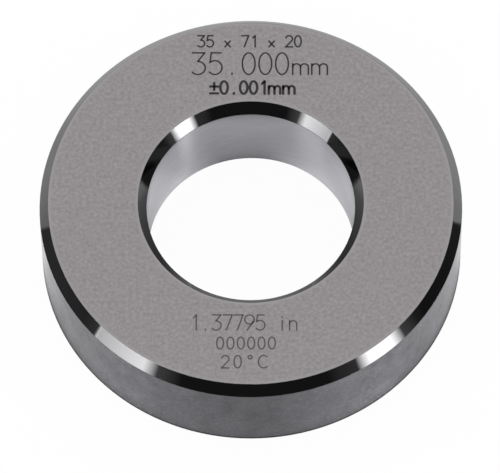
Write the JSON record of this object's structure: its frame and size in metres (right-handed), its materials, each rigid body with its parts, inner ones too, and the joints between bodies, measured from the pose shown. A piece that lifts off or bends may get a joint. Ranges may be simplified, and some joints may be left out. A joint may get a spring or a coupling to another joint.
{
  "type": "setting ring gauge",
  "caption": "Plain cylindrical setting ring of hardened steel: a lapped gauging bore through a thick ground ring, chamfered at both ends of bore and rim.",
  "frame": {"origin": "centre of the lower end face, on the axis of the bore", "axes": "+Z along the bore axis from the lower end face to the marked upper one, +X to the right and +Y away from the camera of the picture"},
  "size_m": [0.071, 0.071, 0.02],
  "materials": {
    "ground_steel": "hardened steel, satin lapped end faces, polished chamfers, ground rim and mirror lapped bore"
  },
  "bodies": {
    "root": {"ring": "ground_steel"}
  },
  "joints": []
}
